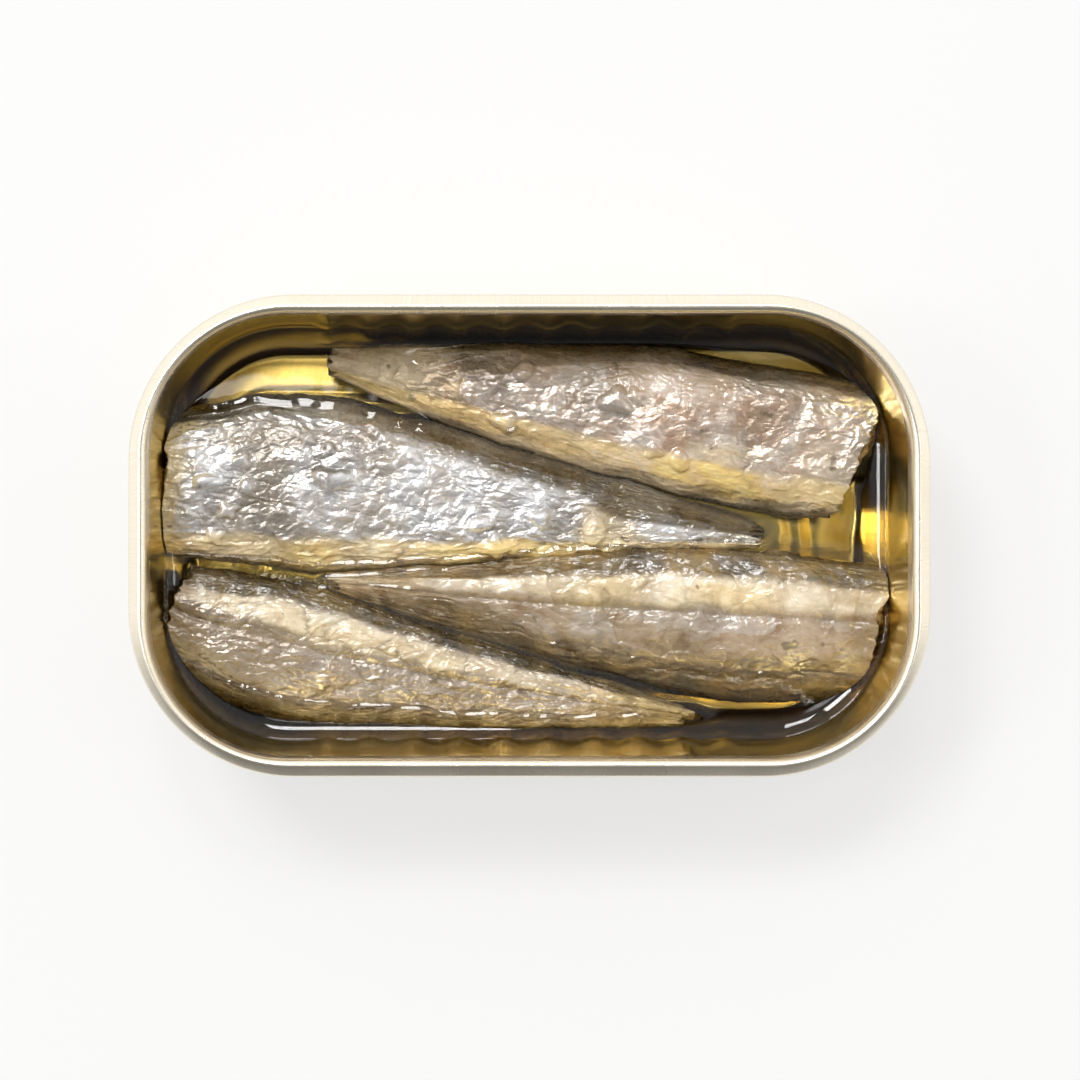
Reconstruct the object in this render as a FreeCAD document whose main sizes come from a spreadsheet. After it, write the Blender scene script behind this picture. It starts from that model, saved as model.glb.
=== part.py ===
"""An opened sardine tin: a drawn can with tapered, fluted walls and a stepped floor, the ring that the
torn-off lid leaves seamed to its mouth, four headless sardines side by side, and the oil round them.

The frame: +Z up, origin at the middle of the base, length along X. Sizes are in millimetres.
An inset is a distance inwards from the outermost outline of the rim, measured square to it."""

import FreeCAD, Part
import os

import Sketcher
from FreeCAD import Vector

TIN_SIZES = {
    "rim_length": 105.0,
    "rim_width": 63.2,
    "rim_corner": 21.8,
    "tin_height": 28.0,
    "sheet_metal": 0.3,
    "draft": 10.5,
    "base_bend": 2.0,
    "first_step": 13.4,      # inset of the outer step in the floor
    "second_step": 16.4,     # inset of the inner step
    "step_height": 0.5,
    "flute_pitch": 6.05,
    "flute_radius": 5.0,
    "flute_dip": 0.2,
    "flute_foot": 5.5,
    "flute_run": 18.0,
    "seam_height": 3.0,
    "shoulder_drop": 0.95,   # from the crown down to the top of the seam's upright outer face
    "crown_inset": 1.6,
    "crown_half": 0.4,
    "crown_dip": 0.12,       # how much lower the crown is at each of its edges
    "throat_inset": 2.5,     # where the crown's inner shoulder meets the chuck wall
    "throat_drop": 1.1,
    "wall_inset": 1.2,       # the can's wall, where it goes up into the seam
    "hook_drop": 0.95,       # from the crown down to the end of the wall inside the seam
    "chuck_depth": 3.3,      # from the crown down to the torn edge of the lid
    "chuck_slope": 0.1,
    "oil_level": 13.0,
    "fish_floor": 1.5,
    "fish_clearance": 0.25,
    "front_depth": 0.5,      # power by which a fish's height follows its width towards the cut end
    "back_depth": 0.8,       # and towards the tail
    "crest_fall": 1.6,       # power by which its crest falls towards the tail
}

# A fish runs from its cut end, where the head was, to its tail stub. Its centre line bows sideways,
# nearer to the cut end where bow_power is below 1. Lying on a flank, it is as wide as girth where
# it is widest, at the share widest_at, and deep is its height there. cut_share and tail_share are
# its width at the two ends as a share of girth, and taper below 1 makes it narrow early. roll tips
# it sideways.
FISH_NAMES = ("sardine_1", "sardine_2", "sardine_3", "sardine_4")
FISH_SIZES = {
    "cut_x": (46.4, -49.4, 49.0, -47.4),
    "cut_y": (10.6, 6.6, -14.0, -11.4),
    "tail_x": (-27.2, 31.8, -27.0, 22.0),
    "tail_y": (23.6, -0.4, -7.0, -25.2),
    "bow": (0.0, 2.0, -1.4, -2.8),
    "bow_power": (1.0, 0.6, 1.0, 0.65),
    "girth": (20.6, 24.0, 20.4, 18.6),
    "deep": (14.4, 14.8, 14.3, 13.9),
    "crest": (15.5, 15.8, 15.4, 15.0),
    "tail_crest": (12.5, 12.6, 12.5, 12.3),
    "cut_share": (0.93, 0.86, 0.86, 0.7),
    "tail_share": (0.24, 0.16, 0.15, 0.17),
    "widest_at": (0.15, 0.28, 0.3, 0.22),
    "taper": (1.0, 0.58, 0.85, 0.7),
    "roll": (5.0, -4.0, -3.0, 4.0),
}
STATIONS = 11            # sections along each fish
FLUTES_A_SIDE = 10
TOUCH = 0.01             # edges this near to the lowest height lie on the foot of the can

# Sketches are first drawn at these sizes, before their dimensions are bound to the sheet.
DRAWN_LENGTH = 80.0
DRAWN_WIDTH = 40.0
DRAWN_CORNER = 10.0
DRAWN_STEP = 5.0

DOC = FreeCAD.newDocument("sardine_tin")
SHEET = DOC.addObject("Spreadsheet::Sheet", "Sizes")


# --- the spreadsheet ---------------------------------------------------------

def write_sheet():
    """Puts each driving size in its own row, as a plain number under its alias."""
    rows = list(TIN_SIZES.items())
    for size, values in FISH_SIZES.items():
        rows += [(fish_alias(fish, size), value) for fish, value in zip(FISH_NAMES, values)]
    for row, (alias, value) in enumerate(rows, start=1):
        SHEET.set("A%d" % row, alias)
        SHEET.set("B%d" % row, str(value))
        SHEET.setAlias("B%d" % row, alias)
    DOC.recompute()


def fish_alias(fish, size):
    return fish + "_" + size


def bind(thing, **formulas):
    """Binds properties to formulas in which $name stands for a cell of the sheet. Two underscores
    in a property's name stand for the dot before a part of it."""
    for name, formula in formulas.items():
        thing.setExpression(name.replace("__", "."), formula.replace("$", "Sizes."))


def cells(fish, formula):
    """The formula with each @name turned into that size of the fish."""
    return formula.replace("@", "$" + fish + "_")


# --- sketches and plain features ---------------------------------------------

def new_sketch(body, name, role, height="0"):
    """A sketch on one of the body's own origin planes, raised by the formula height."""
    sketch = body.newObject("Sketcher::SketchObject", name)
    plane = next(feature for feature in body.Origin.OriginFeatures if feature.Role == role)
    sketch.AttachmentSupport = [(plane, "")]
    sketch.MapMode = "FlatFace"
    bind(sketch, AttachmentOffset__Base__z=height)
    return sketch


def add_size(sketch, name, kind, references, formula):
    """A named dimension bound to a formula. It starts from the sketch as drawn."""
    sketch.addConstraint(Sketcher.Constraint(kind, *references))
    sketch.renameConstraint(sketch.ConstraintCount - 1, name)
    bind(sketch, **{"Constraints__" + name: formula})


def rounded_outline(body, name, inset, height="0"):
    """The rim's rounded rectangle brought in by an inset, which is a formula."""
    sketch = new_sketch(body, name, "XY_Plane", height)
    long_half, short_half, corner = DRAWN_LENGTH / 2, DRAWN_WIDTH / 2, DRAWN_CORNER
    ways = [Vector(1, 0, 0), Vector(0, 1, 0), Vector(-1, 0, 0), Vector(0, -1, 0)]
    halves = [short_half, long_half, short_half, long_half]
    for turn, way in enumerate(ways):
        outward = Vector(way.y, -way.x, 0)
        middle = outward * halves[turn]
        reach = way * (halves[turn - 1] - corner)
        sketch.addGeometry(Part.LineSegment(middle - reach, middle + reach))
        centre = middle + reach - outward * corner
        circle = Part.Circle(centre, Vector(0, 0, 1), corner)
        start = (turn - 1) * 90
        sketch.addGeometry(Part.ArcOfCircle(circle, to_radians(start), to_radians(start + 90)))
    for side in range(0, 8, 2):
        sketch.addConstraint(Sketcher.Constraint("Tangent", side, 2, side + 1, 1))
        sketch.addConstraint(Sketcher.Constraint("Tangent", side + 1, 2, (side + 2) % 8, 1))
        sketch.addConstraint(Sketcher.Constraint("Horizontal" if side % 4 == 0 else "Vertical", side))
    for arc in (3, 5, 7):
        sketch.addConstraint(Sketcher.Constraint("Equal", 1, arc))
    sketch.addConstraint(Sketcher.Constraint("Symmetric", 0, 1, 4, 1, -1, 1))
    add_size(sketch, "outline_length", "DistanceX", (6, 1, 2, 1, DRAWN_LENGTH),
             "$rim_length - 2 * (%s)" % inset)
    add_size(sketch, "outline_width", "DistanceY", (0, 1, 4, 1, DRAWN_WIDTH),
             "$rim_width - 2 * (%s)" % inset)
    add_size(sketch, "outline_corner", "Radius", (1, corner), "$rim_corner - (%s)" % inset)
    return sketch


def to_radians(degrees):
    return FreeCAD.Units.Quantity("%g deg" % degrees).getValueAs("rad").Value


def extrude(body, kind, name, sketch, **formulas):
    """A Pad or a Pocket of a sketch."""
    feature = body.newObject("PartDesign::" + kind, name)
    feature.Profile = sketch
    bind(feature, **formulas)
    return feature


def new_body(name):
    return DOC.addObject("PartDesign::Body", name)


def boolean(kind, name, base, tool):
    made = DOC.addObject("Part::" + kind, name)
    made.Base = base
    made.Tool = tool
    return made


def joined(kind, name, shapes):
    made = DOC.addObject("Part::" + kind, name)
    made.Shapes = shapes
    return made


# --- the can -------------------------------------------------------------------

WALL_TOP = "$tin_height - $seam_height"
LEAN = "tan($draft)"


def can_block(name, into):
    """The drafted block of the can, its foot rounded, brought in by the formula into. Its floor
    steps up twice towards the middle."""
    body = new_body(name)
    foot_inset = "$wall_inset + %s + (%s - %s) * %s" % (into, WALL_TOP, into, LEAN)
    foot = rounded_outline(body, name + "_foot", foot_inset, into)
    block = extrude(body, "Pad", name + "_block", foot, Length="%s - %s" % (WALL_TOP, into),
                    TaperAngle="$draft")
    DOC.recompute()
    lowest = block.Shape.BoundBox.ZMin
    rim = ["Edge%d" % number for number, edge in enumerate(block.Shape.Edges, start=1)
           if edge.BoundBox.ZMax < lowest + TOUCH]
    bend = body.newObject("PartDesign::Fillet", name + "_bend")
    bend.Base = (block, rim)
    bind(bend, Radius="$base_bend - %s" % into)
    for step, inset in enumerate(("$first_step", "$second_step"), start=1):
        panel = rounded_outline(body, "%s_panel_%d" % (name, step), "%s - %s" % (inset, into), into)
        extrude(body, "Pocket", "%s_step_%d" % (name, step), panel,
                Length="%d * $step_height" % step).Reversed = True
    return body


def flutes(name, grow):
    """Upright rods that lie against the two long walls. They press shallow flutes into the metal.
    grow is the part of the sheet's thickness that the rods stand proud by."""
    rods = []
    for side in (1, -1):
        for place in range(FLUTES_A_SIDE):
            rod = DOC.addObject("Part::Cylinder", "%s_%d" % (name, len(rods) + 1))
            foot = "($wall_inset + (%s - $flute_foot) * %s)" % (WALL_TOP, LEAN)
            reach = "($rim_width / 2 - %s + $flute_radius - $flute_dip)" % foot
            bind(rod,
                 Radius="$flute_radius + %s" % grow,
                 Height="$flute_run",
                 Placement__Base__x="%g * $flute_pitch" % (place - (FLUTES_A_SIDE - 1) / 2),
                 Placement__Base__y="%d * %s" % (side, reach),
                 Placement__Base__z="$flute_foot",
                 Placement__Rotation__Roll="%d * $draft" % -side)
            rods.append(rod)
    return joined("MultiFuse", name, rods)


def wall_collar():
    """The upright end of the wall, which goes up into the seam."""
    body = new_body("collar")
    height = "$seam_height - $hook_drop"
    outside = rounded_outline(body, "collar_outside", "$wall_inset", WALL_TOP)
    extrude(body, "Pad", "collar_pad", outside, Length=height)
    inside = rounded_outline(body, "collar_inside", "$wall_inset + $sheet_metal", WALL_TOP)
    extrude(body, "Pocket", "collar_hole", inside, Length=height).Reversed = True
    return body


def tin_body(cavity):
    """The can: its drafted outside less the cavity, with the collar on top."""
    outside = boolean("Cut", "can_outside", can_block("outside_block", "0"), flutes("outer_rods", "0"))
    shell = boolean("Cut", "can_shell", outside, cavity)
    made = joined("MultiFuse", "tin_body", [shell, wall_collar()])
    made.Label = "tin_body"
    return made


# --- the seam and what is left of the lid ---------------------------------------

def section_sketch(body, name, corners):
    """A closed outline in the XZ plane, each corner at its own pair of formulas."""
    sketch = new_sketch(body, name, "XZ_Plane")
    count = len(corners)
    drawn = [Vector(DRAWN_LENGTH / 2 + DRAWN_STEP * (corner % 4), DRAWN_STEP * corner, 0)
             for corner in range(count)]
    for corner in range(count):
        sketch.addGeometry(Part.LineSegment(drawn[corner], drawn[(corner + 1) % count]))
    for corner in range(count):
        following = (corner + 1) % count
        sketch.addConstraint(Sketcher.Constraint("Coincident", corner, 2, following, 1))
    for corner, (across, up) in enumerate(corners):
        add_size(sketch, "across_%d" % corner, "DistanceX", (-1, 1, corner, 1, drawn[corner].x), across)
        add_size(sketch, "up_%d" % corner, "DistanceY", (-1, 1, corner, 1, drawn[corner].y), up)
    return sketch


def rim_ring(collar_cutter):
    """The folded double seam, its outer shoulder sloping up to the crown, with the chuck wall inside
    it and the torn edge of the lid at its foot."""
    body = new_body("seam")
    path = rounded_outline(body, "seam_path", "0")
    foot = "$tin_height - $seam_height"
    torn = "$tin_height - $chuck_depth"
    corners = [
        ("0", foot + " + $sheet_metal"),
        ("0", "$tin_height - $shoulder_drop"),
        ("$crown_inset - $crown_half", "$tin_height - $crown_dip"),
        ("$crown_inset", "$tin_height"),
        ("$crown_inset + $crown_half", "$tin_height - $crown_dip"),
        ("$throat_inset", "$tin_height - $throat_drop"),
        ("$throat_inset + $chuck_slope", torn + " + $sheet_metal"),
        ("$throat_inset + $chuck_slope", torn),
        ("$wall_inset + $sheet_metal", torn),
        ("$wall_inset + $sheet_metal", foot),
        ("$wall_inset", foot),
        ("$sheet_metal", foot),
    ]
    placed = [("$rim_length / 2 - (%s)" % inset, up) for inset, up in corners]
    section = section_sketch(body, "seam_section", placed)
    sweep = body.newObject("PartDesign::AdditivePipe", "seam_sweep")
    sweep.Profile = section
    sweep.Spine = path
    made = boolean("Cut", "rim_ring", body, collar_cutter)
    made.Label = "rim_ring"
    return made


# --- the fish --------------------------------------------------------------------

def fish_section(fish, station):
    """One oval across a fish, upright and square to the straight line from cut end to tail."""
    share = station / (STATIONS - 1)
    late = "max(0; (%g - @widest_at) / (1 - @widest_at))" % share
    early = "min(1; %g / @widest_at)" % share
    front = "(@cut_share + (1 - @cut_share) * sin(90 * %s))" % early
    back = "(@tail_share + (1 - @tail_share) * cos(90 * (%s) ^ @taper))" % late
    width = "@girth * %s * %s" % (front, back)
    height = "@deep * %s ^ $front_depth * %s ^ $back_depth" % (front, back)
    crest = "(@crest - (@crest - @tail_crest) * %g ^ $crest_fall)" % share
    heading = "atan2(@tail_y - @cut_y; @tail_x - @cut_x)"
    bowed = "@bow * sin(180 * %g ^ @bow_power)" % share
    oval = DOC.addObject("Part::Ellipse", "%s_section_%d" % (fish, station + 1))
    formulas = {
        "MajorRadius": "max(%s; %s) / 2" % (width, height),
        "MinorRadius": "min(%s; %s) / 2" % (width, height),
        "Placement__Base__x": "@cut_x + (@tail_x - @cut_x) * %g" % share,
        "Placement__Base__y": "@cut_y + (@tail_y - @cut_y) * %g + %s" % (share, bowed),
        "Placement__Base__z": "%s - %s / 2" % (crest, height),
        "Placement__Rotation__Yaw": heading + " - 90 deg",
        "Placement__Rotation__Pitch": "@roll",
        "Placement__Rotation__Roll": "90",
    }
    bind(oval, **{name: cells(fish, formula) for name, formula in formulas.items()})
    return oval


def fish_form(fish):
    """The whole body of a fish, lofted through its ovals."""
    loft = DOC.addObject("Part::Loft", fish + "_form")
    loft.Sections = [fish_section(fish, station) for station in range(STATIONS)]
    loft.Solid = True
    return loft


def lay_fish():
    """The fish, flat where they rest on the floor or press on the wall or on one another."""
    room = new_body("fish_room")
    inset = "$wall_inset + $sheet_metal + $fish_clearance + (%s - $fish_floor) * %s" % (WALL_TOP, LEAN)
    foot = rounded_outline(room, "room_foot", inset, "$fish_floor")
    extrude(room, "Pad", "room_block", foot, Length="%s - $fish_floor" % WALL_TOP, TaperAngle="$draft")
    laid = []
    for fish in FISH_NAMES:
        form = boolean("Common", fish + "_in_tin", fish_form(fish), room)
        for number, neighbour in enumerate(laid, start=1):
            form = boolean("Cut", "%s_beside_%d" % (fish, number), form, neighbour)
        form.Label = fish
        laid.append(form)
    return laid


def oil(cavity, fish):
    """The oil up to its level, to the wall all round and close round the fish."""
    level = DOC.addObject("Part::Box", "below_level")
    bind(level,
         Length="$rim_length",
         Width="$rim_width",
         Height="$oil_level",
         Placement__Base__x="-$rim_length / 2",
         Placement__Base__y="-$rim_width / 2")
    poured = boolean("Common", "poured", cavity, level)
    all_fish = DOC.addObject("Part::Compound", "all_fish")
    all_fish.Links = fish
    made = boolean("Cut", "oil", poured, all_fish)
    made.Label = "oil"
    return made


# --- checks and files --------------------------------------------------------------

def check(parts):
    for thing in DOC.Objects:
        if "Invalid" in thing.State or "Error" in thing.State:
            raise RuntimeError("%s failed: %s" % (thing.Name, thing.State))
    for part in parts:
        if part.Shape.isNull() or not part.Shape.isValid():
            raise RuntimeError("%s has no valid shape" % part.Label)
        solids = len(part.Shape.Solids)
        if solids != 1:
            raise RuntimeError("%s has %d solids" % (part.Label, solids))


def main():
    write_sheet()
    hollow = can_block("hollow", "$sheet_metal")
    cavity = boolean("Cut", "cavity", hollow, flutes("inner_rods", "$sheet_metal"))
    can = tin_body(cavity)
    fish = lay_fish()
    parts = [can, rim_ring(can), oil(cavity, fish)] + fish
    DOC.recompute()
    check(parts)
    os.makedirs("parts", exist_ok=True)
    for part in parts:
        part.Shape.exportStep("parts/%s.step" % part.Label)
        print("%-10s %9.1f mm3" % (part.Label, part.Shape.Volume), part.Shape.BoundBox)


main()
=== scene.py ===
"""An opened sardine tin: gold-lacquered can, champagne seam, four wet sardines and golden oil."""
import math
import random

import bpy
import numpy as np
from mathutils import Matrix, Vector, kdtree


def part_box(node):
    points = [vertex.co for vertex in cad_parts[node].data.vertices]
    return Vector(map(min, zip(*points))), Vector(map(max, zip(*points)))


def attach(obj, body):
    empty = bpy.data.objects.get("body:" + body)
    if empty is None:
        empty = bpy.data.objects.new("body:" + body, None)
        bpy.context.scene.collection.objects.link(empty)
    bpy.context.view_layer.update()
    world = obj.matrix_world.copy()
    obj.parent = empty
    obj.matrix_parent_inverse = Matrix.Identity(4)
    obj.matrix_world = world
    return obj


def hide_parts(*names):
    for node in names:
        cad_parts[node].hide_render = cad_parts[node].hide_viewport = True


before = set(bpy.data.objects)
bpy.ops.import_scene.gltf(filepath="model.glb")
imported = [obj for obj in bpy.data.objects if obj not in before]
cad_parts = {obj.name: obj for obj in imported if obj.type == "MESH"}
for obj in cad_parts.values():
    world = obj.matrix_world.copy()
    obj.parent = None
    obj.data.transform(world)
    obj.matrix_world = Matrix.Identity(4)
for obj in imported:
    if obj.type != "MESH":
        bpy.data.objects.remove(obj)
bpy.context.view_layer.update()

MM = 0.001

# --- driving sizes, in millimetres ---------------------------------------------

BODY_LOW, BODY_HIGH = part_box("tin_body")
RIM_LOW, RIM_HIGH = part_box("rim_ring")
OIL_LOW, OIL_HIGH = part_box("oil")
RIM_LENGTH = (RIM_HIGH[0] - RIM_LOW[0]) / MM
RIM_WIDTH = (RIM_HIGH[1] - RIM_LOW[1]) / MM
TIN_HEIGHT = RIM_HIGH[2] / MM
OIL_LEVEL = OIL_HIGH[2] / MM
RIM_CORNER = 21.8          # radius of the rim's outer corners
WALL_INSET = (RIM_LENGTH - (BODY_HIGH[0] - BODY_LOW[0]) / MM) / 2
SHEET_METAL = 0.3
DRAFT = math.radians(10.5)
SEAM_HEIGHT = 3.0
WALL_TOP = TIN_HEIGHT - SEAM_HEIGHT
CROWN = 1.6                # how far in the seam is highest
SEAM_ROUND = 1.15          # how far its inner shoulder comes down
SEAM_EDGE = 0.3            # radius of the seam's lower edge
CHUCK_TOP = 2.5            # how far in the seam ends and its chuck wall drops
CHUCK_DEPTH = 3.3          # from the crown down to the foot of the chuck wall
COLLAR_DROP = 1.0          # from the crown down to the end of the wall inside the seam
BASE_BEND = 1.6            # outer radius of the can's foot
RING_RISE = 0.3            # the floor climbs this much from its bend to RING_TOP
RING_TOP = 11.7            # inset where that climb ends
CORNER_PULL = 1.35         # how fast the corners get tighter further in
FIRST_STEP = 13.4          # insets of the two steps in the floor
SECOND_STEP = 16.4
STEP_HEIGHT = 0.24
STEP_REACH = 0.7           # half the width of a step's slope
STEP_APRON = 1.2           # flat floor kept on each side of a step's middle
FLUTE_PITCH = 6.05
FLUTES_A_SIDE = 10
FLUTE_DEPTH = 0.48
FLUTE_FOOT = (4.5, 8.0)    # heights between which a flute fades in
FLUTE_HEAD = (2.2, 0.6)    # depths under the seam between which it fades out
WALL_CREEP = 1.3           # how far the oil climbs the wall
WALL_CREEP_REACH = 1.6     # and how far out from the wall it does so
FISH_CREEP = 0.85          # how far it climbs the fish
FISH_CREEP_REACH = 2.1
OIL_BITE = 0.6             # share of the sheet's thickness that the oil stays in from the outside
OIL_SIDE_FOOT = 5.0        # height where the oil's side ends and its bottom starts
WET_FROM = {"sardine_1_skin": -14.5}    # the tail beyond this x lies under the oil

# A fish runs from its cut end to its tail stub. Its width goes from cut_share of its girth at the
# cut end, over the full girth at widest_at, to tail_share at the tail. lean tips its ridge to the
# +Y side, slant skews its cut face, and foil, plates and blisters say how creased, flaky and
# bubbly its skin is.
FISH = {
    "sardine_1": dict(
        cut=(46.4, 10.6), tail=(-27.2, 23.6), bow=0.0, bow_power=1.0, girth=20.6, deep=14.4,
        crest=15.5, tail_crest=12.0, cut_share=0.93, tail_share=0.24, slant=4.5,
        widest_at=0.15, taper=1.0, lean=0.0, belly_side=-1,
        seed=11, blisters=9, foil=0.75, plates=0.2),
    "sardine_2": dict(
        cut=(-49.4, 6.6), tail=(31.8, -0.4), bow=2.0, bow_power=0.6, girth=24.0, deep=14.8,
        crest=15.8, tail_crest=13.1, cut_share=0.86, tail_share=0.16, slant=-2.2,
        widest_at=0.28, taper=0.58, lean=-0.1, belly_side=-1,
        seed=23, blisters=34, foil=1.25, plates=0.0),
    "sardine_3": dict(
        cut=(48.3, -14.0), tail=(-27.0, -7.0), bow=-1.4, bow_power=1.0, girth=20.4, deep=14.3,
        crest=15.4, tail_crest=12.9, cut_share=0.86, tail_share=0.15, slant=1.5,
        widest_at=0.3, taper=0.85, lean=0.34, belly_side=1,
        seed=37, blisters=0, foil=0.55, plates=1.0),
    "sardine_4": dict(
        cut=(-47.4, -11.4), tail=(22.0, -25.2), bow=-2.8, bow_power=0.65, girth=18.6, deep=13.9,
        crest=15.0, tail_crest=12.8, cut_share=0.7, tail_share=0.17, slant=-1.0,
        widest_at=0.22, taper=0.7, lean=0.34, belly_side=1,
        seed=51, blisters=0, foil=1.05, plates=0.3),
}
FISH_FLOOR = 1.5

# Silver, dull tone, back, how much of the silver shines like metal, and how creased it is, which also
# sets how dark its creases are painted as shade.
SKIN = {
    "sardine_1": ((0.76, 0.66, 0.57, 1), (0.44, 0.30, 0.21, 1), (0.12, 0.085, 0.035, 1), 0.65, 0.5),
    "sardine_2": ((0.82, 0.82, 0.84, 1), (0.58, 0.54, 0.50, 1), (0.13, 0.095, 0.045, 1), 0.7, 0.75),
    "sardine_3": ((0.52, 0.43, 0.33, 1), (0.34, 0.24, 0.16, 1), (0.30, 0.20, 0.06, 1), 0.35, 0.5),
    "sardine_4": ((0.40, 0.34, 0.27, 1), (0.23, 0.165, 0.10, 1), (0.15, 0.105, 0.035, 1), 0.5, 0.9),
}


# --- noise ------------------------------------------------------------------------

def smooth(low, high, value):
    """0 below low, 1 above high and an S between them."""
    part = np.clip((value - low) / (high - low), 0.0, 1.0)
    return part * part * (3.0 - 2.0 * part)


def band(value, start, end, soft):
    """1 between start and end, fading out over soft at each side."""
    return smooth(start - soft, start + soft, value) * (1.0 - smooth(end - soft, end + soft, value))


def lattice_value(cell, seed):
    """A repeatable random number from -1 to 1 for each lattice point."""
    mixed = (cell[..., 0] * 374761393 + cell[..., 1] * 668265263
             + cell[..., 2] * 2147483647 + seed * 974711)
    mixed = (mixed ^ (mixed >> 13)) * 1274126177
    mixed = mixed ^ (mixed >> 16)
    return (mixed & 0xFFFF) / 32767.5 - 1.0


def value_noise(points, seed):
    """Smooth noise from -1 to 1 at each row of points."""
    cell = np.floor(points).astype(np.int64)
    part = points - cell
    part = part * part * part * (part * (part * 6.0 - 15.0) + 10.0)
    total = 0.0
    for corner in range(8):
        step = np.array([corner & 1, (corner >> 1) & 1, corner >> 2])
        weight = np.prod(np.where(step == 1, part, 1.0 - part), axis=-1)
        total = total + weight * lattice_value(cell + step, seed)
    return total


def fractal(points, seed, octaves=3, gain=0.5):
    """Several sizes of smooth noise added up, about -1 to 1."""
    total, height, reach = 0.0, 1.0, 0.0
    for octave in range(octaves):
        total = total + height * value_noise(points * 2.03 ** octave, seed + octave)
        reach += height
        height *= gain
    return total / reach


def ridges(points, seed, octaves=2):
    """Narrow creased ridges from 0 to 1."""
    total, height, reach = 0.0, 1.0, 0.0
    for octave in range(octaves):
        sharp = 1.0 - np.abs(value_noise(points * 1.9 ** octave, seed + 5 * octave)) * 2.0
        total = total + height * np.clip(sharp, 0.0, 1.0) ** 2
        reach += height
        height *= 0.55
    return total / reach


def blisters(way, round_way, count, length, girth, seed):
    """Round domes from 0 to 1 in chance places on a skin, each with a slight moat round it."""
    chance = random.Random(seed)
    height = np.zeros(len(way))
    for _ in range(count):
        place = chance.uniform(0.08, 0.8) * length
        beside = chance.uniform(-0.3, 0.45) * girth
        radius = chance.choice((0.7, 0.9, 1.1, 1.4, 1.8))
        gap = np.hypot((way - place) * chance.uniform(0.6, 1.0), round_way - beside) / radius
        bearing = np.arctan2(round_way - beside, way - place)
        gap = gap * (1.0 + 0.22 * np.sin(chance.randint(2, 4) * bearing + chance.uniform(0, 6)))
        dome = np.clip(1.0 - gap * gap, 0.0, 1.0) ** 0.75 * radius * 0.5
        moat = 0.12 * np.exp(-((gap - 1.15) / 0.2) ** 2)
        height = np.maximum(height, dome) - moat * (height < 0.05)
    return height


# --- making meshes ------------------------------------------------------------------

def deselect():
    if bpy.context.object and bpy.context.object.mode != "OBJECT":
        bpy.ops.object.mode_set(mode="OBJECT")
    bpy.ops.object.select_all(action="DESELECT")


def close_up(piece, threshold=1e-6):
    """Merges the seams of a piece and turns its faces outwards."""
    deselect()
    piece.select_set(True)
    bpy.context.view_layer.objects.active = piece
    bpy.ops.object.mode_set(mode="EDIT")
    bpy.ops.mesh.select_all(action="SELECT")
    bpy.ops.mesh.remove_doubles(threshold=threshold)
    bpy.ops.mesh.select_all(action="SELECT")
    bpy.ops.mesh.normals_make_consistent(inside=False)
    bpy.ops.object.mode_set(mode="OBJECT")


def sheet(name, columns, rows):
    """A flat unit grid, with the share of the way along and across at each of its points."""
    deselect()
    bpy.ops.mesh.primitive_grid_add(x_subdivisions=columns, y_subdivisions=rows, size=1.0)
    piece = bpy.context.object
    piece.name = name
    piece.data.name = name
    flat = np.empty(len(piece.data.vertices) * 3)
    piece.data.vertices.foreach_get("co", flat)
    flat = flat.reshape(-1, 3) + 0.5
    return piece, flat[:, 0], flat[:, 1]


def shape(piece, points, angle=None):
    """Moves a piece's points to rows of millimetres, closes it and smooths its shading, up to an
    angle between faces where one is given."""
    piece.data.vertices.foreach_set("co", (np.asarray(points) * MM).ravel())
    piece.data.update()
    close_up(piece)
    deselect()
    piece.select_set(True)
    bpy.context.view_layer.objects.active = piece
    if angle is None:
        bpy.ops.object.shade_smooth()
    else:
        bpy.ops.object.shade_smooth_by_angle(angle=math.radians(angle))
    return piece


def rounded_ring(turn, inset):
    """Points of the rim's rounded rectangle brought in by inset, for shares of a turn from 0 to 1.
    It starts in the middle of the right end and goes anticlockwise, sharing its length evenly by
    the outer outline."""
    long_half = RIM_LENGTH / 2 - RIM_CORNER
    short_half = RIM_WIDTH / 2 - RIM_CORNER
    arc = RIM_CORNER * math.pi / 2
    quarter = long_half + short_half + arc
    way = np.mod(turn, 1.0) * 4 * quarter
    mirrored = np.where(way > 2 * quarter, 4 * quarter - way, way)
    flipped = np.where(mirrored > quarter, 2 * quarter - mirrored, mirrored)
    side_x = np.where(mirrored > quarter, -1.0, 1.0)
    side_y = np.where(way > 2 * quarter, -1.0, 1.0)
    radius = np.maximum(RIM_CORNER - inset * CORNER_PULL, 0.0)
    angle = np.clip((flipped - short_half) / RIM_CORNER, 0.0, math.pi / 2)
    core_x = RIM_LENGTH / 2 - inset - radius
    core_y = RIM_WIDTH / 2 - inset - radius
    along_end = np.clip(flipped / short_half, 0.0, 1.0)
    along_side = np.clip((quarter - flipped) / long_half, 0.0, 1.0)
    x = np.where(flipped < short_half + arc, core_x + radius * np.cos(angle), core_x * along_side)
    y = np.where(flipped > short_half, core_y + radius * np.sin(angle), core_y * along_end)
    y = np.where(flipped < short_half, core_y * along_end, y)
    x = np.where(flipped < short_half, core_x + radius, x)
    return side_x * x, side_y * y


def oval_points(centre, radii, start, end, steps):
    """Points round part of an oval, angles in degrees, with 180 on the outer side."""
    angles = [math.radians(start + (end - start) * step / steps) for step in range(steps + 1)]
    return [(centre[0] + radii[0] * math.cos(angle), centre[1] + radii[1] * math.sin(angle))
            for angle in angles]


def arc_points(centre, radius, start, end, steps):
    """Points round part of a circle, angles in degrees."""
    return oval_points(centre, (radius, radius), start, end, steps)


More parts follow.
